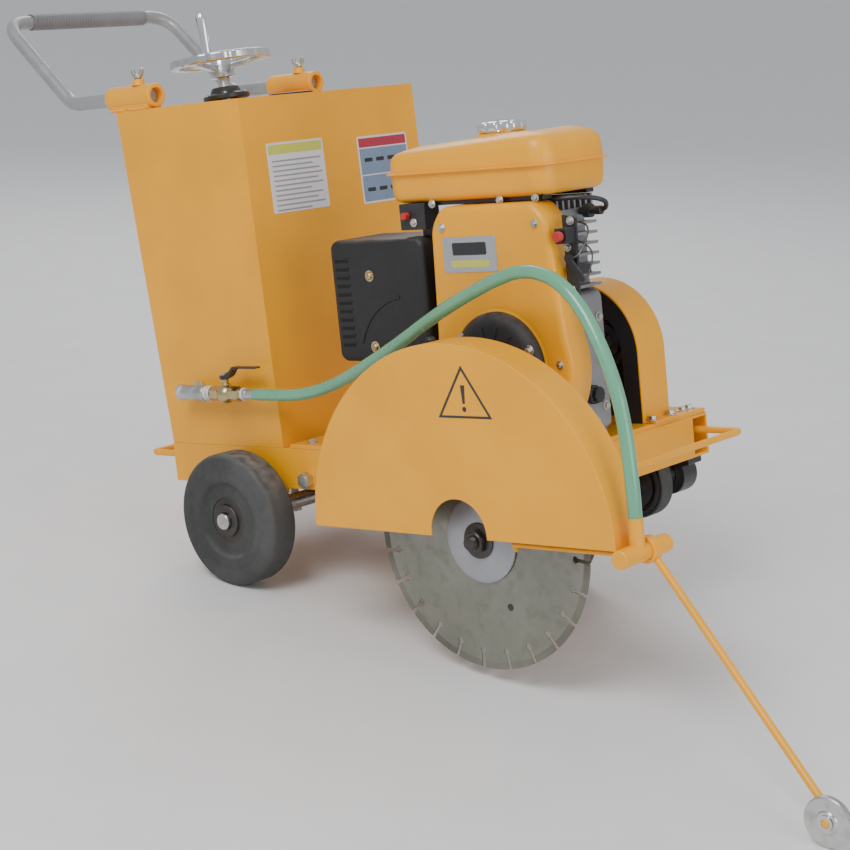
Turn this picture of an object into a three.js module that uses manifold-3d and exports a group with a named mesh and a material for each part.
// Walk-behind concrete saw, millimetres, +Z up.
// Everything on the machine is drawn in the machine's own frame: X forward, Y to the machine's left,
// Z up, with its origin where the blade shaft's axis meets the blade. The machine group is then tilted
// nose up about that origin and raised, as the saw stands on its four wheels in transport position.
import * as THREE from "three";
import { mergeVertices } from "three/addons/utils/BufferGeometryUtils.js";
import Module from "manifold-3d";

const wasm = await Module();
wasm.setup();

// ---- Driving dimensions -------------------------------------------------------------------------
const GAP = 0.3; // between touching pieces
const NOSE_UP = THREE.MathUtils.degToRad(9);
const ORIGIN_SHIFT = { x: 246.4, y: -207 }; // puts the row's origin under the middle of the saw

const REAR_WHEEL = { x: -515, z: -12, r: 100, width: 50, outerRight: 20 };
const FRONT_WHEEL = { x: -190, r: 65, width: 40 };
const CHASSIS = { rear: -690, front: 50, right: 85, left: 463, bottom: 28, top: 88, railWidth: 40, wall: 4 };
const MID_Y = (CHASSIS.right + CHASSIS.left) / 2;
const DECK = { rear: -430, thickness: 6 };
const ENGINE = { rear: -115, front: 50, right: 152, left: 236, top: 300 };
const DECK_TOP = CHASSIS.top + GAP + DECK.thickness;

const TANK = { topRear: -731, topFront: -459, bottomRear: -688, bottomFront: -444, top: 602, wall: 4 };
const CLAMP = { rear: -752, front: -650, y: [100, 446], z: 621, outer: 18, bore: 11.6 };
const HANDLE = { r: 11, front: -662, bend: -850, back: -998, top: 762, gripR: 13.5 };

const BLADE = { r: 175, thickness: 3, slots: 24, slotWidth: 5, slotDepth: 23, keyhole: 4.8 };
const FLANGE = { r: 58 };
const SHAFT = { r: 14, left: 436 };
const GUARD = { r: 255, cx: -4, cz: 11, right: -45, left: 12, wall: 3, bottom: 12, notch: 47 };
const PULLEY = { y0: 341, y1: 373, driven: 43, drive: 36 };
const CRANK = { x: -30, z: 210 };
const BELT_GUARD = { cx: -66, cz: 194, r: 102, y0: 328, y1: 392, wall: 3 };

const PIVOT = { x: -398, z: 43 }; // of the depth frame that carries the front wheels
const LEVER = { x: -634, z: 59 }; // where the lift nut meets the depth frame
const SCREW_LEAN = THREE.MathUtils.degToRad(4.75); // the tank's rear wall and the screw lean back
const HANDWHEEL = { z: 668, r: 80, rim: 7 };
const HOSE = { r: 9 };
const MANIFOLD = { x: 270, z: 8, r: 12, y0: -66, y1: 33, standY: -26, standTop: 52 };
const POINTER = { r: 5, wheelR: 30, wheelWidth: 8, eyeY: -5 };

// Height of the blade shaft above the floor, with the rear wheels standing on it.
const SHAFT_HEIGHT =
  REAR_WHEEL.r - REAR_WHEEL.x * Math.sin(NOSE_UP) - REAR_WHEEL.z * Math.cos(NOSE_UP);
// Height, in the tilted machine frame, at which something stands on the floor plus `clear`.
const zAboveFloor = (x, clear) => (clear - SHAFT_HEIGHT - x * Math.sin(NOSE_UP)) / Math.cos(NOSE_UP);

// ---- Materials ----------------------------------------------------------------------------------
const paint = (color, roughness, metalness) =>
  new THREE.MeshStandardMaterial({ color, roughness, metalness });
const YELLOW = paint(0xf2a81d, 0.45, 0.1);
const BLACK = paint(0x1c1c1f, 0.5, 0.2);
const STEEL = paint(0xb4b6b8, 0.35, 0.9);
const BLADE_STEEL = paint(0x9a9c98, 0.4, 0.8);
const DARK_STEEL = paint(0x55534d, 0.55, 0.7);
const ALUMINIUM = paint(0xa9abad, 0.5, 0.7);
const CHROME = paint(0xdfe3e6, 0.12, 1);
const RUBBER = paint(0x26282c, 0.85, 0);
const TUBE_GREY = paint(0xa7a9a6, 0.5, 0.4);
const BRASS = paint(0xb58a3a, 0.35, 0.9);
const RED = paint(0xc8201c, 0.4, 0);
const HOSE_GREEN = paint(0x8fcfae, 0.35, 0);

// ---- Solid helpers ------------------------------------------------------------------------------
function solid(geometry) {
  const bare = geometry.index ? geometry.toNonIndexed() : geometry.clone();
  bare.deleteAttribute("normal");
  bare.deleteAttribute("uv");
  const merged = mergeVertices(bare, 1e-4);
  const mesh = new wasm.Mesh({
    numProp: 3,
    vertProperties: merged.attributes.position.array,
    triVerts: new Uint32Array(merged.index.array),
  });
  return new wasm.Manifold(mesh);
}

function geometryOf(manifold) {
  const mesh = manifold.getMesh();
  const geometry = new THREE.BufferGeometry();
  geometry.setAttribute("position", new THREE.BufferAttribute(mesh.vertProperties, 3));
  geometry.setIndex(new THREE.BufferAttribute(mesh.triVerts, 1));
  geometry.computeVertexNormals();
  return geometry;
}

function join(first, ...others) {
  const whole = others.reduce((sum, g) => sum.add(solid(g)), solid(first));
  return geometryOf(whole);
}

function cut(from, ...tools) {
  const rest = tools.reduce((sum, g) => sum.subtract(solid(g)), solid(from));
  return geometryOf(rest);
}

// A box between two corners.
function block(x0, x1, y0, y1, z0, z1) {
  const box = new THREE.BoxGeometry(x1 - x0, y1 - y0, z1 - z0);
  return box.translate((x0 + x1) / 2, (y0 + y1) / 2, (z0 + z1) / 2);
}

// Round bars along each machine axis.
function barX(r, x0, x1, y, z, sides = 16) {
  const bar = new THREE.CylinderGeometry(r, r, x1 - x0, sides);
  return bar.rotateZ(Math.PI / 2).translate((x0 + x1) / 2, y, z);
}

function barY(r, y0, y1, x, z, sides = 16) {
  return new THREE.CylinderGeometry(r, r, y1 - y0, sides).translate(x, (y0 + y1) / 2, z);
}

function barZ(r, z0, z1, x, y, sides = 16) {
  const bar = new THREE.CylinderGeometry(r, r, z1 - z0, sides);
  return bar.rotateX(Math.PI / 2).translate(x, y, (z0 + z1) / 2);
}

// The profile's points, ordered so that the lathed faces point outwards.
function lathePoints(profile) {
  let doubleArea = 0;
  profile.forEach(([r, h], i) => {
    const [nextR, nextH] = profile[(i + 1) % profile.length];
    doubleArea += r * nextH - nextR * h;
  });
  const ordered = doubleArea > 0 ? profile : [...profile].reverse();
  return ordered.map(([r, h]) => new THREE.Vector2(r, h));
}

// A lathed piece turned about an axis parallel to Y. The profile holds [radius, y] pairs.
function turnedY(profile, x, z, segments = 32) {
  return new THREE.LatheGeometry(lathePoints(profile), segments).translate(x, 0, z);
}

// A lathed piece turned about an upright axis. The profile holds [radius, z] pairs.
function turnedZ(profile, segments = 32) {
  return new THREE.LatheGeometry(lathePoints(profile), segments).rotateX(Math.PI / 2);
}

// An outline in X and Z, given thickness from y0 to y1.
function plateY(shape, y0, y1, curveSegments = 12) {
  const slab = new THREE.ExtrudeGeometry(shape, { depth: y1 - y0, bevelEnabled: false, curveSegments });
  return slab.rotateX(Math.PI / 2).translate(0, y1, 0);
}

// An outline in X and Y, given thickness from z0 to z1.
function plateZ(shape, z0, z1, curveSegments = 12) {
  const slab = new THREE.ExtrudeGeometry(shape, { depth: z1 - z0, bevelEnabled: false, curveSegments });
  return slab.translate(0, 0, z0);
}

function polygon(points) {
  return new THREE.Shape(points.map(([a, b]) => new THREE.Vector2(a, b)));
}

function roundedRect(a0, a1, b0, b1, r) {
  const s = new THREE.Shape();
  s.moveTo(a0 + r, b0);
  s.lineTo(a1 - r, b0);
  s.absarc(a1 - r, b0 + r, r, -Math.PI / 2, 0);
  s.lineTo(a1, b1 - r);
  s.absarc(a1 - r, b1 - r, r, 0, Math.PI / 2);
  s.lineTo(a0 + r, b1);
  s.absarc(a0 + r, b1 - r, r, Math.PI / 2, Math.PI);
  s.lineTo(a0, b0 + r);
  s.absarc(a0 + r, b0 + r, r, Math.PI, 1.5 * Math.PI);
  return s;
}

function circle(r, sides) {
  const points = [];
  for (let i = 0; i < sides; i++) {
    const a = (2 * Math.PI * i) / sides;
    points.push([r * Math.cos(a), r * Math.sin(a)]);
  }
  return polygon(points);
}

// A round rod or hose along a curve.
function rod(curve, r, steps, sides = 12) {
  return new THREE.ExtrudeGeometry(circle(r, sides), { steps, bevelEnabled: false, extrudePath: curve });
}

// A rod through corner points, each corner rounded to the radius `bend`.
function bentPath(points, bend) {
  const path = new THREE.CurvePath();
  let from = points[0];
  for (let i = 1; i < points.length - 1; i++) {
    const corner = points[i];
    const back = new THREE.Vector3().subVectors(points[i - 1], corner).normalize();
    const ahead = new THREE.Vector3().subVectors(points[i + 1], corner).normalize();
    const half = back.angleTo(ahead) / 2;
    const setback = bend / Math.tan(half);
    const start = corner.clone().addScaledVector(back, setback);
    const end = corner.clone().addScaledVector(ahead, setback);
    path.add(new THREE.LineCurve3(from, start));
    path.add(new THREE.QuadraticBezierCurve3(start, corner, end));
    from = end;
  }
  path.add(new THREE.LineCurve3(from, points[points.length - 1]));
  return path;
}

const vec = (x, y, z) => new THREE.Vector3(x, y, z);

// ---- Groups -------------------------------------------------------------------------------------
const saw = new THREE.Group();
const machine = new THREE.Group();
machine.rotation.y = -NOSE_UP;
machine.position.set(ORIGIN_SHIFT.x, ORIGIN_SHIFT.y, SHAFT_HEIGHT);
saw.add(machine);

function add(name, geometry, material, parent = machine) {
  const mesh = new THREE.Mesh(geometry, material);
  mesh.name = name;
  parent.add(mesh);
  return mesh;
}

// ---- Chassis ------------------------------------------------------------------------------------
// A side rail: an open-ended box section with the rear axle's hanger plate welded under it.
function rail(outer, inner) {
  const { rear, front, bottom, top, wall } = CHASSIS;
  const { x, z } = REAR_WHEEL;
  const y0 = Math.min(outer, inner);
  const y1 = Math.max(outer, inner);
  const hanger = polygon([[x - 50, bottom + 1], [x - 22, z - 22], [x + 22, z - 22], [x + 50, bottom + 1]]);
  const tube = block(rear, front, y0, y1, bottom, top);
  const bore = block(rear - 1, front + 1, y0 + wall, y1 - wall, bottom + wall, top - wall);
  const pivotHole = barY(8.6, y0 - 1, y1 + 1, PIVOT.x, PIVOT.z);
  const hangerPlate = plateY(hanger, y0 + 12, y1 - 12);
  return cut(join(cut(tube, bore, pivotHole), hangerPlate), barY(12.8, y0, y1, x, z));
}

// A channel across the chassis, its web at `webX` and its flanges reaching to `edgeX`.
function crossMember(webX, edgeX) {
  const { right, left, railWidth, bottom, top, wall } = CHASSIS;
  const y0 = right + railWidth + GAP;
  const y1 = left - railWidth - GAP;
  const x0 = Math.min(webX, edgeX);
  const x1 = Math.max(webX, edgeX);
  const inward = webX > edgeX ? -wall : wall;
  const hollow = block(x0 + inward, x1 + inward, y0 - 1, y1 + 1, bottom + wall, top - wall);
  return cut(block(x0, x1, y0, y1, bottom, top), hollow);
}

function chassis() {
  const { rear, front, right, left, railWidth, top } = CHASSIS;
  add("chassis_rail_right", rail(right, right + railWidth), YELLOW);
  add("chassis_rail_left", rail(left, left - railWidth), YELLOW);
  add("rear_cross_member", crossMember(rear, rear + 26), YELLOW);
  const beltSlot = block(-86, front - CHASSIS.wall - 0.5, PULLEY.y0 - 7, PULLEY.y1 + 7, 0, DECK_TOP + 1);
  const deckPlate = block(DECK.rear, front - 2, right + 1, left - 1, top + GAP, DECK_TOP);
  const seat = block(front - 38, front - 2, right + railWidth + GAP, left - railWidth - GAP, top - 1, top + 1);
  add("engine_deck", cut(join(deckPlate, crossMember(front, front - 38), seat), beltSlot), YELLOW);
}

// The round-bar bumpers: front one enters the open ends of the rails, rear one stands off the back.
function bumpers() {
  const z = 66;
  const yRight = CHASSIS.right + CHASSIS.railWidth / 2;
  const yLeft = CHASSIS.left - CHASSIS.railWidth / 2;
  const bar = (xRoot, xOut) =>
    rod(
      bentPath([vec(xRoot, yRight, z), vec(xOut, yRight, z), vec(xOut, yLeft, z), vec(xRoot, yLeft, z)], 12),
      5,
      24,
      8,
    );
  add("front_bumper", bar(CHASSIS.front - 60, 120), YELLOW);
  add("rear_bumper", bar(CHASSIS.rear + 60, -764), YELLOW);
}

// ---- Water tank ---------------------------------------------------------------------------------
const tankZ0 = CHASSIS.top + GAP;
const FILLER = { x: -520, y: 255, r: 27 };
const SCREW_X0 = LEVER.x - 4; // screw axis where it meets the height of the lever
const screwX = (z) => SCREW_X0 - (z - LEVER.z) * Math.tan(SCREW_LEAN);

// Side outline of the tank, drawn in by `inset` from its walls.
function tankOutline(inset) {
  const { topRear, topFront, bottomRear, bottomFront, top } = TANK;
  return polygon([
    [bottomRear + inset, tankZ0 + inset],
    [bottomFront - inset, tankZ0 + inset],
    [topFront - inset, top - inset],
    [topRear + inset, top - inset],
  ]);
}

function leaningBar(r, z0, z1, sides = 20) {
  const length = (z1 - z0) / Math.cos(SCREW_LEAN);
  const bar = new THREE.CylinderGeometry(r, r, length, sides).rotateX(Math.PI / 2);
  const zMid = (z0 + z1) / 2;
  return bar.rotateY(-SCREW_LEAN).translate(screwX(zMid), MID_Y, zMid);
}

function waterTank() {
  const { wall, top } = TANK;
  const shell = cut(
    plateY(tankOutline(0), CHASSIS.right, CHASSIS.left),
    plateY(tankOutline(wall), CHASSIS.right + wall, CHASSIS.left - wall),
    barZ(FILLER.r, top - 20, top + 5, FILLER.x, FILLER.y),
    barY(8, CHASSIS.right - 1, CHASSIS.right + 12, -612, 173, 16),
  );
  const sleeved = join(shell, leaningBar(18, tankZ0 + 1, top - 1));
  add("water_tank", cut(sleeved, leaningBar(13, tankZ0 - 20, top + 20)), YELLOW);

  const cap = [[0, -8], [26.4, -8], [26.4, GAP], [33, GAP], [33, 2.4], [30, 3.6], [0, 3.6]];
  const lid = add("tank_filler_cap", turnedZ(cap, 24), BLACK);
  lid.position.set(FILLER.x, FILLER.y, top);

  const flange = [[13.5, GAP], [37, GAP], [37, 8], [25, 11], [21, 20], [13.5, 20], [13.5, GAP]];
  const bearing = add("handwheel_bearing", turnedZ(flange, 24), BLACK);
  bearing.rotation.y = -SCREW_LEAN;
  bearing.position.set(screwX(top), MID_Y, top + 3);
}

// ---- Handle -------------------------------------------------------------------------------------
function handle() {
  const { rear, front, z, outer, bore } = CLAMP;
  const bossHoleR = 5.3;
  CLAMP.y.forEach((y, i) => {
    const side = i === 0 ? "right" : "left";
    const body = join(
      barX(outer, rear, front, y, z, 28),
      barZ(9, z + 12, z + 27, -688, y, 16),
      block(rear + 8, front - 8, y - 14, y + 14, TANK.top + GAP, z - 8),
    );
    const clamp = cut(body, barX(bore, rear - 1, front + 1, y, z, 24), barZ(bossHoleR, z, z + 40, -688, y, 12));
    add(`handle_clamp_${side}`, clamp, YELLOW);

    const wings = [[-13, 33], [-5, 27.3], [5, 27.3], [13, 33], [12, 43], [6, 38], [-6, 38], [-12, 43]];
    const screw = join(barZ(5, 11.6, 34, 0, 0, 12), plateY(polygon(wings), -3, 3));
    const wing = add(`wing_bolt_${side}`, screw, DARK_STEEL);
    wing.position.set(-688, y, z);
  });

  const path = bentPath(
    [
      vec(HANDLE.front, CLAMP.y[0], z),
      vec(HANDLE.bend, CLAMP.y[0], z),
      vec(HANDLE.back, CLAMP.y[0], HANDLE.top),
      vec(HANDLE.back, CLAMP.y[1], HANDLE.top),
      vec(HANDLE.bend, CLAMP.y[1], z),
      vec(HANDLE.front, CLAMP.y[1], z),
    ],
    45,
  );
  add("handle_bar", rod(path, HANDLE.r, 46, 10), TUBE_GREY);
  const grip = turnedY(
    [
      [HANDLE.r + GAP, 152], [HANDLE.gripR, 152], [HANDLE.gripR, 392],
      [HANDLE.r + GAP, 392], [HANDLE.r + GAP, 152],
    ],
    HANDLE.back,
    HANDLE.top,
    24,
  );
  add("handle_grip", grip, DARK_STEEL);
}

// ---- Depth setting: handwheel, screw, nut and the frame with the front wheels -------------------
const depthGroup = new THREE.Group(); // along the leaning screw, origin on its axis at the tank top
depthGroup.rotation.y = -SCREW_LEAN;
depthGroup.position.set(screwX(TANK.top), MID_Y, TANK.top);
machine.add(depthGroup);

function handwheel() {
  const h = HANDWHEEL.z - TANK.top;
  const ring = new THREE.TorusGeometry(HANDWHEEL.r - HANDWHEEL.rim, HANDWHEEL.rim, 8, 28).translate(0, 0, h);
  const hubSection = [[10.4, h - 28], [20, h - 28], [17, h - 4], [14, h + 4], [10.4, h + 4], [10.4, h - 28]];
  const hub = turnedZ(hubSection, 24);
  const spokes = [0, 1, 2].map((i) => {
    const spoke = polygon([[14, h - 18], [70, h - 5], [70, h + 3], [14, h - 8]]);
    return plateY(spoke, -8, 8).rotateZ((2 * Math.PI * i) / 3 + 0.6);
  });
  add("handwheel", join(ring, hub, ...spokes), CHROME, depthGroup);

  const spinAngle = THREE.MathUtils.degToRad(152);
  const grip = [[0, 8], [7, 8], [9.5, 60], [9, 84], [5, 88], [0, 88]];
  const spinner = add("handwheel_grip", turnedZ(grip, 16), CHROME, depthGroup);
  const reach = HANDWHEEL.r - HANDWHEEL.rim;
  spinner.position.set(reach * Math.cos(spinAngle), reach * Math.sin(spinAngle), h);

  const screwLength = (TANK.top - LEVER.z) / Math.cos(SCREW_LEAN);
  const screw = turnedZ([[0, -screwLength - 118], [10, -screwLength - 118], [10, h + 6], [0, h + 6]], 20);
  add("lift_screw", screw, STEEL, depthGroup);

  const nut = join(block(-15, 15, -15, 15, -15, 15), barY(7, -36, 36, 0, 0, 16));
  const threaded = cut(nut, barZ(10.4, -20, 20, 0, 0, 20));
  const nutMesh = add("lift_nut", threaded, BRASS, depthGroup);
  nutMesh.position.set(0, 0, -screwLength);
}

function wheelGeometry(r, width, bore) {
  const h = width / 2;
  const tread = r - 4;
  return turnedY(
    [
      [bore, -h - 2], [bore + 12, -h - 2], [r * 0.56, -h + 5], [r * 0.6, -h], [tread, -h], [r, -h + 5],
      [r, h - 5], [tread, h], [r * 0.6, h], [r * 0.56, h - 5], [bore + 12, h + 2], [bore, h + 2],
      [bore, -h - 2],
    ],
    0,
    0,
    26,
  );
}

// The black frame that pivots between the rails: cross tube, two wheel arms and the screw's fork.
function depthFrame() {
  const front = { x: FRONT_WHEEL.x, z: zAboveFloor(FRONT_WHEEL.x, FRONT_WHEEL.r) };
  const armShape = (x, z, halfRoot, halfTip) => {
    const a = Math.atan2(z - PIVOT.z, x - PIVOT.x);
    const n = [-Math.sin(a), Math.cos(a)];
    const at = (px, pz, h) => [px + n[0] * h, pz + n[1] * h];
    return polygon([
      at(PIVOT.x, PIVOT.z, -halfRoot), at(x, z, -halfTip), at(x, z, halfTip), at(PIVOT.x, PIVOT.z, halfRoot),
    ]);
  };
  const forkShape = armShape(LEVER.x + 20, LEVER.z, 10, 8);
  const slot = block(LEVER.x - 40, LEVER.x + 16, MID_Y - 40, MID_Y + 40, LEVER.z - 8.2, LEVER.z + 8.2);
  const arms = [[188, 198], [350, 360]].map(([y0, y1]) => plateY(armShape(front.x, front.z, 20, 18), y0, y1));
  const forks = [-32, 20].map((dy) => {
    const y = MID_Y + dy;
    const head = block(LEVER.x - 16, LEVER.x + 26, y, y + 12, LEVER.z - 15, LEVER.z + 15);
    return cut(join(plateY(forkShape, y, y + 12), head), slot);
  });
  const frame = join(
    barY(20, 132, 416, PIVOT.x, PIVOT.z, 20),
    ...arms,
    ...forks,
    barY(10, 132, 416, front.x, front.z, 16),
    barY(18, 182, 204, front.x, front.z, 16),
    barY(18, 344, 366, front.x, front.z, 16),
  );
  add("depth_frame", cut(frame, barY(8.6, 130, 420, PIVOT.x, PIVOT.z)), BLACK);
  add("pivot_shaft", pivotShaft(), STEEL);
  [["front_wheel_right", 160], ["front_wheel_left", 388]].forEach(([name, y]) => {
    const wheel = add(name, wheelGeometry(FRONT_WHEEL.r, FRONT_WHEEL.width, 10.4), RUBBER);
    wheel.position.set(front.x, y, front.z);
    wheel.rotation.y = NOSE_UP;
  });
}

function pivotShaft() {
  const { right, left } = CHASSIS;
  return join(
    barY(8, right - 14, left + 14, PIVOT.x, PIVOT.z),
    barY(12.5, right - 12, right - GAP, PIVOT.x, PIVOT.z, 6),
    barY(12.5, left + GAP, left + 12, PIVOT.x, PIVOT.z, 6),
  );
}

// ---- Rear axle and wheels -----------------------------------------------------------------------
function rearAxle() {
  const { x, z, r, width, outerRight } = REAR_WHEEL;
  const outerLeft = 2 * MID_Y - outerRight;
  add("rear_axle", barY(12.5, outerRight - 8, outerLeft + 8, x, z), STEEL);
  [["rear_wheel_right", outerRight + width / 2], ["rear_wheel_left", outerLeft - width / 2]].forEach(
    ([name, y]) => {
      const wheel = add(name, wheelGeometry(r, width, 12.9), RUBBER);
      wheel.position.set(x, y, z);
      wheel.rotation.y = NOSE_UP;
    },
  );
}

// ---- Blade, its shaft and the belt drive --------------------------------------------------------
function blade() {
  const { r, thickness, slots, slotWidth, slotDepth, keyhole } = BLADE;
  const slot = join(
    block(r - slotDepth, r + 4, -1, thickness + 1, -slotWidth / 2, slotWidth / 2),
    barY(keyhole, -1, thickness + 1, r - slotDepth, 0, 8),
  );
  const cutters = [];
  for (let i = 0; i < slots; i++) {
    const angle = THREE.MathUtils.degToRad(6) + (2 * Math.PI * i) / slots;
    cutters.push(slot.clone().rotateY(angle));
  }
  const pinHole = barY(5, -1, thickness + 1, 38, -88, 16);
  const disc = barY(r, 0, thickness, 0, 0, 48);
  const arborHole = barY(SHAFT.r + GAP, -1, thickness + 1, 0, 0, 24);
  add("saw_blade", cut(disc, ...cutters, pinHole, arborHole), BLADE_STEEL);

  const outer = [[14.3, -GAP], [58, -GAP], [58, -2.5], [54, -5], [24, -5.5], [14.3, -5.5], [14.3, -GAP]];
  add("outer_flange", turnedY(outer, 0, 0, 28), STEEL);
  const bolt = join(barY(17.5, -18, -5.8, 0, 0, 6), barY(9, -28, -17, 0, 0, 16));
  add("arbor_nut", cut(bolt, barY(SHAFT.r - 5.5, -16, -5, 0, 0, 16)), DARK_STEEL);
}

function driveLine() {
  const { y0, y1, driven, drive } = PULLEY;
  const f0 = BLADE.thickness + GAP; // the inner flange is shrunk onto the shaft
  const flange = [
    [0, f0], [FLANGE.r, f0], [FLANGE.r, f0 + 3], [54, f0 + 5.5],
    [26, f0 + 6], [26, f0 + 14], [0, f0 + 14],
  ];
  const journal = barY(SHAFT.r, -5, SHAFT.left, 0, 0, 24);
  const shaft = join(journal, barY(8, -15, 0, 0, 0, 16), turnedY(flange, 0, 0, 28));
  add("blade_shaft", shaft, STEEL);
  const grooved = (r, bore) => {
    const groove = [[r - 7, y0 + 6], [r - 7, y1 - 6]];
    return [[bore, y0], [r, y0], [r, y0 + 2], ...groove, [r, y1 - 2], [r, y1], [bore, y1], [bore, y0]];
  };
  add("driven_pulley", turnedY(grooved(driven, SHAFT.r + GAP), 0, 0, 24), BLACK);
  add("drive_pulley", turnedY(grooved(drive, 12.8), CRANK.x, CRANK.z, 24), BLACK);
  const wheel = [[0, 120], [40, 120], [62, 116], [66, 116], [66, 145], [0, 145]];
  const crank = join(barY(12.5, 140, 379, CRANK.x, CRANK.z, 20), turnedY(wheel, CRANK.x, CRANK.z, 24));
  add("crankshaft", crank, STEEL);

  const inner = beltOutline(driven + GAP, drive + GAP);
  const outer = beltOutline(driven + 4, drive + 4);
  outer.holes.push(inner);
  add("drive_belts", plateY(outer, y0 + 3, y1 - 3, 12), RUBBER);

  const blocks = [["bearing_block_right", CHASSIS.right + 2], ["bearing_block_left", CHASSIS.left - 38]];
  blocks.forEach(([name, y]) => {
    const outline = new THREE.Shape();
    outline.moveTo(-38, CHASSIS.bottom - GAP);
    outline.lineTo(-38, CHASSIS.bottom - 12);
    outline.absarc(0, 0, 29, Math.PI * 0.86, Math.PI * 2.14, false);
    outline.lineTo(38, CHASSIS.bottom - 12);
    outline.lineTo(38, CHASSIS.bottom - GAP);
    add(name, cut(plateY(outline, y, y + 34), barY(SHAFT.r + GAP, y - 1, y + 35, 0, 0, 24)), BLACK);
  });
}

// The belt's path round the two pulleys, at the given radii, as an outline in X and Z.
function beltOutline(rDriven, rDrive) {
  const distance = Math.hypot(CRANK.x, CRANK.z);
  const toward = Math.atan2(CRANK.z, CRANK.x);
  const tilt = Math.acos((rDriven - rDrive) / distance);
  const path = new THREE.Shape();
  path.absarc(0, 0, rDriven, toward + tilt, toward + 2 * Math.PI - tilt, false);
  path.absarc(CRANK.x, CRANK.z, rDrive, toward - tilt, toward + tilt, false);
  path.closePath();
  return path;
}

// Upright outline with a round top, for the belt guard.
function archOutline(r, bottom) {
  const { cx, cz } = BELT_GUARD;
  const s = new THREE.Shape();
  s.moveTo(cx + r, bottom);
  s.lineTo(cx + r, cz);
  s.absarc(cx, cz, r, 0, Math.PI, false);
  s.lineTo(cx - r, bottom);
  return s;
}

function beltGuard() {
  const { r, y0, y1, wall } = BELT_GUARD;
  const foot = DECK_TOP + GAP;
  const shell = cut(
    plateY(archOutline(r, foot), y0, y1, 16),
    plateY(archOutline(r - wall, foot - 1), y0 - 1, y1 - wall, 16),
  );
  const tabs = [block(BELT_GUARD.cx - r - 18, BELT_GUARD.cx - r + 1, y0 + 4, y1 - 4, foot, foot + 4)];
  tabs.push(block(BELT_GUARD.cx + r - 1, BELT_GUARD.cx + r + 18, y0 + 4, y1 - 4, foot, foot + 4));
  add("belt_guard", join(shell, ...tabs), YELLOW);
}

// ---- Blade guard and its water pipes ------------------------------------------------------------
function guardOutline(r, bottom) {
  const { cx, cz } = GUARD;
  const from = Math.asin((bottom - cz) / r);
  const s = new THREE.Shape();
  s.absarc(cx, cz, r, from, Math.PI - from, false);
  s.closePath();
  return s;
}

function bladeGuard() {
  const { r, right, left, wall, bottom, notch } = GUARD;
  const shell = cut(
    plateY(guardOutline(r, bottom), right, left, 30),
    plateY(guardOutline(r - wall, bottom - 2), right + wall, left - wall, 30),
    barY(notch, right - 1, right + wall + 1, 0, bottom + 4, 24),
    barY(FLANGE.r + 5, left - wall - 1, left + 1, 0, 0, 24),
  );
  const bracket = cut(
    block(-190, -80, left - 1, CHASSIS.right - GAP, 40, 84),
    block(-186, -84, left + 4, CHASSIS.right + 1, 44, 80),
  );
  add("blade_guard", join(shell, bracket), YELLOW);
}

function waterPipes() {
  const { x, z, r, y0, y1, standY, standTop } = MANIFOLD;
  const spray = bentPath([vec(x - 4, -24, z - 4), vec(74, -24, z - 4), vec(68, -12, z - 14)], 6);
  const manifold = join(
    barY(r, y0, y1, x, z, 24),
    barZ(9.5, z, standTop, x, standY, 20),
    rod(spray, 3.5, 14, 8),
  );
  add("water_manifold", manifold, YELLOW);
}

// ---- Water line: elbow, ball valve and hose -----------------------------------------------------
const WATER = { y: 58, z: 173 };

function waterLine() {
  const { y, z } = WATER;
  const elbow = join(
    barX(12.5, -628, -567, y, z, 24),
    barX(10.5, -568, -553, y, z, 24),
    barY(8.5, y, CHASSIS.right - GAP, -612, z, 20),
  );
  add("pipe_elbow", elbow, STEEL);
  const valve = join(
    barX(11.5, -552.7, -532, y, z, 6),
    new THREE.SphereGeometry(15, 14, 10).translate(-524, y, z),
    barX(11.5, -516, -488, y, z, 6),
    barZ(5.5, z + 10, z + 22, -524, y, 12),
    barX(8, -489, -462, y, z, 12),
  );
  add("valve_body", valve, BRASS);
  const lever = join(barZ(8, z + 22.3, z + 28, -524, y, 12), leverBlade(y, z));
  add("valve_lever", lever, BLACK);
}

function leverBlade(y, z) {
  const side = polygon([
    [-530, z + 23], [-516, z + 23], [-500, z + 38], [-452, z + 38],
    [-450, z + 41], [-501, z + 42], [-519, z + 28],
    [-530, z + 28],
  ]);
  return plateY(side, y - 6, y + 6);
}

// The hose's route from the valve's nipple to the standpipe at the guard's front edge.
const HOSE_ROUTE = [
  [-461.7, 58, 173],
  [-430, 58, 173],
  [-395, 57, 173.5],
  [-355, 56, 177],
  [-300, 54, 190],
  [-250, 50, 208],
  [-200, 46, 230],
  [-143, 40, 256],
  [-95, 36, 280],
  [-45, 31, 303],
  [5, 26, 323],
  [52, 20, 339],
  [97, 13, 348],
  [135, 6, 345],
  [166, 0, 333],
  [197, -5, 306],
  [223, -10, 268],
  [241, -14, 231],
  [254, -18, 196],
  [263, -22, 156],
  [268, -25, 114],
  [270, -26, 80],
  [270, -26, 52.3],
];

function hose() {
  const route = new THREE.CatmullRomCurve3(HOSE_ROUTE.map(([x, y, z]) => vec(x, y, z)), false, "centripetal");
  add("water_hose", rod(route, HOSE.r, 44, 10), HOSE_GREEN);
}

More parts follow.
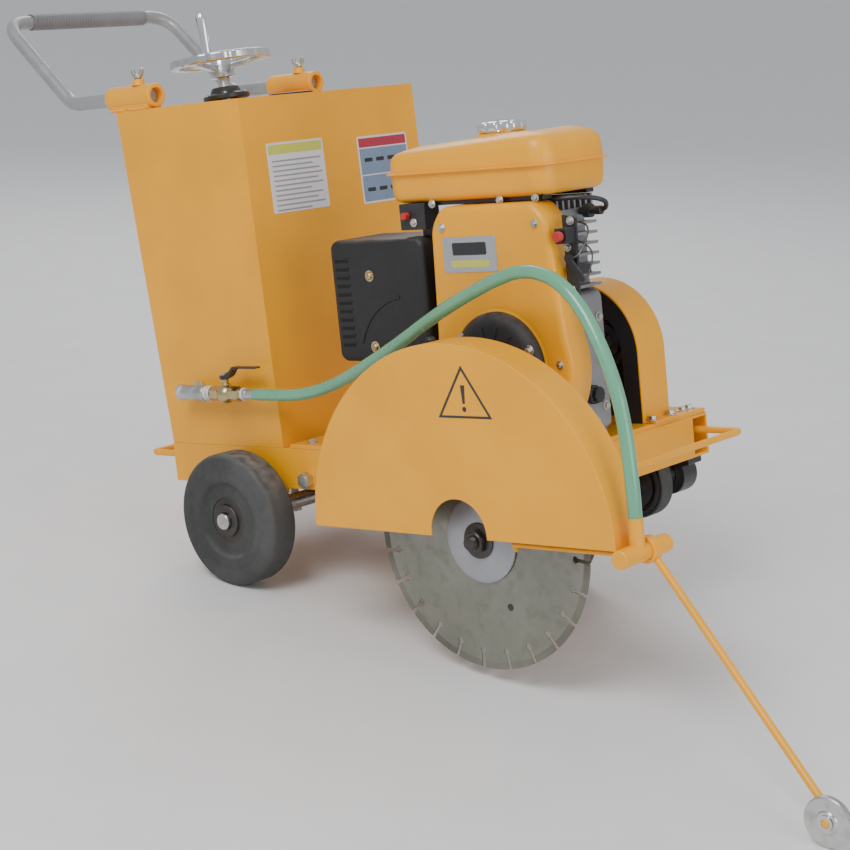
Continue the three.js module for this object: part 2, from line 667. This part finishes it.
// ---- Engine -------------------------------------------------------------------------------------
function engineBlock() {
  const base = DECK_TOP + GAP;
  const { rear, front, right, left, top } = ENGINE;
  const crankcase = join(
    plateY(roundedRect(rear, front, base + 12, top, 14), right, left, 4),
    barY(48, left - 1, left + 26, CRANK.x, CRANK.z, 28),
    block(rear - 10, front - 6, right + 4, right + 30, base, base + 13),
    block(rear - 10, front - 6, left - 30, left - 4, base, base + 13),
  );
  const shaftBore = barY(12.8, right - 1, left + 27, CRANK.x, CRANK.z, 20);
  add("crankcase", cut(crankcase, shaftBore), ALUMINIUM);

  const finRear = rear + 30;
  const fins = [];
  for (let i = 0; i < 7; i++) {
    const z = top + 4 + i * 14;
    fins.push(block(finRear, front, right + 6, left + 4, z, z + 4));
  }
  const barrel = join(block(finRear + 20, front - 14, right + 14, left - 4, top + GAP, 402), ...fins);
  add("cylinder", barrel, ALUMINIUM);
  const headFins = [];
  for (let i = 0; i < 7; i++) {
    const y = right + 9 + i * 12.5;
    headFins.push(block(finRear + 5, front - 4, y, y + 4, 410, 428));
  }
  const head = join(block(finRear, front, right + 6, left + 4, 402 + GAP, 411), ...headFins);
  add("cylinder_head", head, ALUMINIUM);
  const plugY = 205;
  const plug = join(
    barX(5, front + GAP, front + 9, plugY, 406.5, 10),
    barX(10, front + 8, front + 19, plugY, 406.5, 6),
    barX(6, front + 18, front + 37, plugY, 406.5, 12),
  );
  add("spark_plug", plug, ALUMINIUM);
}

// Outline of the fan shroud: a round scroll with a neck that rises to the cylinder head.
function shroudOutline(inset) {
  const r = 118 - inset;
  const s = new THREE.Shape();
  s.moveTo(CRANK.x + r, 110 + inset);
  s.lineTo(CRANK.x + r, CRANK.z);
  s.absarc(CRANK.x, CRANK.z, r, 0, 0.35, false);
  s.lineTo(68 - inset, 404);
  s.lineTo(48 - inset, 428 - inset);
  s.lineTo(-118 + inset, 428 - inset);
  s.lineTo(-136 + inset, 408);
  s.lineTo(CRANK.x - r * Math.cos(0.35), CRANK.z + r * Math.sin(0.35));
  s.absarc(CRANK.x, CRANK.z, r, Math.PI - 0.35, Math.PI, false);
  s.lineTo(CRANK.x - r, 110 + inset);
  return s;
}

function shroud() {
  const y0 = 108;
  const y1 = 151.7;
  const shell = cut(
    plateY(shroudOutline(0), y0, y1, 12),
    plateY(shroudOutline(3), y0 + 3, y1 + 1, 12),
    barY(70, y0 - 1, y0 + 4, CRANK.x, CRANK.z, 32),
  );
  add("fan_shroud", shell, YELLOW);
  const cowl = [
    [0, 82], [30, 80], [34, 84], [66, 87], [76, 94],
    [76, y0 - GAP], [60, y0 - GAP], [60, 98], [0, 94],
  ];
  add("recoil_starter", turnedY(cowl, CRANK.x, CRANK.z, 28), BLACK);
  const tee = join(barX(6, -132, -106.6, 90, 232, 12), barZ(8, 210, 254, -137, 90, 12));
  add("recoil_handle", tee, BLACK);
}

// The fuel tank: two pressed tubs that meet at a flanged seam, with a lid that falls to the rear.
const FUEL_TANK = { x0: -228, x1: 70, y0: 112, y1: 274, z0: 434, seam: 475, z1: 520 };
const FUEL_CAP = { x: -61, y: 193 };

function fuelTank() {
  const { x0, x1, y0, y1, z0, seam, z1 } = FUEL_TANK;
  const slab = (inset, r, zLow, zHigh) => {
    return plateZ(roundedRect(x0 + inset, x1 - inset, y0 + inset, y1 - inset, r), zLow, zHigh, 3);
  };
  const aboveLid = (drop) => {
    const fall = [[x0 - 1, z1 - 17 - drop], [-100, z1 - drop], [-100, z1 + 5], [x0 - 1, z1 + 5]];
    return plateY(polygon(fall), y0 - 1, y1 + 1);
  };
  const tubs = join(slab(6, 32, z0 + 8, z1 - 10), slab(18, 26, z0, z1), slab(0, 36, seam - 2, seam + 2));
  const hollow = join(slab(10, 28, z0 + 12, z1 - 14), slab(22, 22, z0 + 4, z1 - 4));
  const skin = cut(cut(tubs, aboveLid(0)), cut(hollow, aboveLid(4)));
  const neck = barZ(30, z1 - 16, z1, FUEL_CAP.x, FUEL_CAP.y, 28);
  const filler = barZ(24, z0 + 20, z1 + 5, FUEL_CAP.x, FUEL_CAP.y, 24);
  add("fuel_tank", cut(join(skin, neck), filler), YELLOW);
  const cap = [[0, -7], [23, -7], [23, GAP], [33, GAP], [34, 4], [34, 12], [30, 15], [0, 17]];
  add("fuel_cap", turnedZ(cap, 24), CHROME).position.set(FUEL_CAP.x, FUEL_CAP.y, z1);
}

function intakeSide() {
  const x0 = -334;
  const x1 = -156;
  const shell = cut(
    plateY(roundedRect(x0, x1, 214, 388, 12), 112, 214, 4),
    plateY(roundedRect(x0 + 3, x1 - 3, 217, 385, 9), 115, 215, 4),
  );
  const slots = [];
  for (let i = 0; i < 11; i++) {
    slots.push(block(x0 + 10, x0 + 40, 111, 116, 236 + i * 12, 241 + i * 12));
  }
  add("air_cleaner_cover", cut(shell, ...slots), BLACK);
  const carb = join(
    block(-150, -112, 176, 226, 310, 366),
    barX(17, -155, -86.3, 201, 338, 20),
    barZ(15, 292, 311, -131, 201, 16),
  );
  add("carburettor", carb, ALUMINIUM);
  add("muffler", join(barY(42, 222, 316, -205, 300, 28), barX(12, -170, -85 - GAP, 240, 318, 16)), DARK_STEEL);
}

function controls() {
  const plate = polygon([[78, 296], [96, 300], [100, 404], [78, 408]]);
  const bracket = join(
    plateY(plate, 128, 132),
    block(80, 98, 108, 129, 372, 392),
    block(78, 86, 131, 172, 328, 340),
    block(ENGINE.front + GAP, 86, 162, 172, 328, 340),
  );
  add("control_bracket", cut(bracket, barY(7.5, 107, 116, 89, 382, 16)), BLACK);
  add("throttle_lever", join(barY(6, 119, 127.7, 89, 352, 12), lever([89, 352], [112, 322], 119, 122)), BLACK);
  add("stop_switch", barY(7, 98, 107.7, 89, 382, 16), RED);
}

// A flat finger lever between two points, from y0 to y1.
function lever([xa, za], [xb, zb], y0, y1) {
  const a = Math.atan2(zb - za, xb - xa);
  const nx = -Math.sin(a) * 4;
  const nz = Math.cos(a) * 4;
  const outline = [[xa - nx, za - nz], [xb - nx, zb - nz], [xb + nx, zb + nz], [xa + nx, za + nz]];
  return plateY(polygon(outline), y0, y1);
}

// ---- Pointer ------------------------------------------------------------------------------------
const POINTER_TIP = { x: 563, y: -114 };

function pointer() {
  const { r, wheelR, wheelWidth, eyeY } = POINTER;
  const tipZ = zAboveFloor(POINTER_TIP.x, wheelR + 0.4);
  const eyeWidth = 16;
  const eye = barY(MANIFOLD.r + 5, eyeY - eyeWidth / 2, eyeY + eyeWidth / 2, MANIFOLD.x, MANIFOLD.z, 24);
  const bore = barY(MANIFOLD.r + GAP, eyeY - 20, eyeY + 20, MANIFOLD.x, MANIFOLD.z, 24);
  const start = vec(MANIFOLD.x + 12, eyeY, MANIFOLD.z - 12);
  const elbow = vec(POINTER_TIP.x, POINTER_TIP.y + 12, tipZ);
  const stem = rod(new THREE.LineCurve3(start, elbow), r, 1, 12);
  const axle = barY(5, POINTER_TIP.y - wheelWidth / 2 - 4, POINTER_TIP.y + 14, POINTER_TIP.x, tipZ, 12);
  add("pointer_rod", cut(join(eye, stem, axle), bore), YELLOW);
  const w = wheelWidth / 2;
  const disc = [[5.3, -w - 2], [13, -w - 2], [wheelR - 2, -w], [wheelR, -w + 2], [wheelR, w - 2]];
  const wheel = turnedY([...disc, [wheelR - 2, w], [13, w + 2], [5.3, w + 2], [5.3, -w - 2]], 0, 0, 24);
  add("pointer_wheel", wheel, STEEL).position.set(POINTER_TIP.x, POINTER_TIP.y, tipZ);
}

chassis();
bumpers();
waterTank();
handle();
handwheel();
depthFrame();
rearAxle();
blade();
driveLine();
beltGuard();
bladeGuard();
waterPipes();
waterLine();
hose();
engineBlock();
shroud();
fuelTank();
intakeSide();
controls();
pointer();

export default saw;
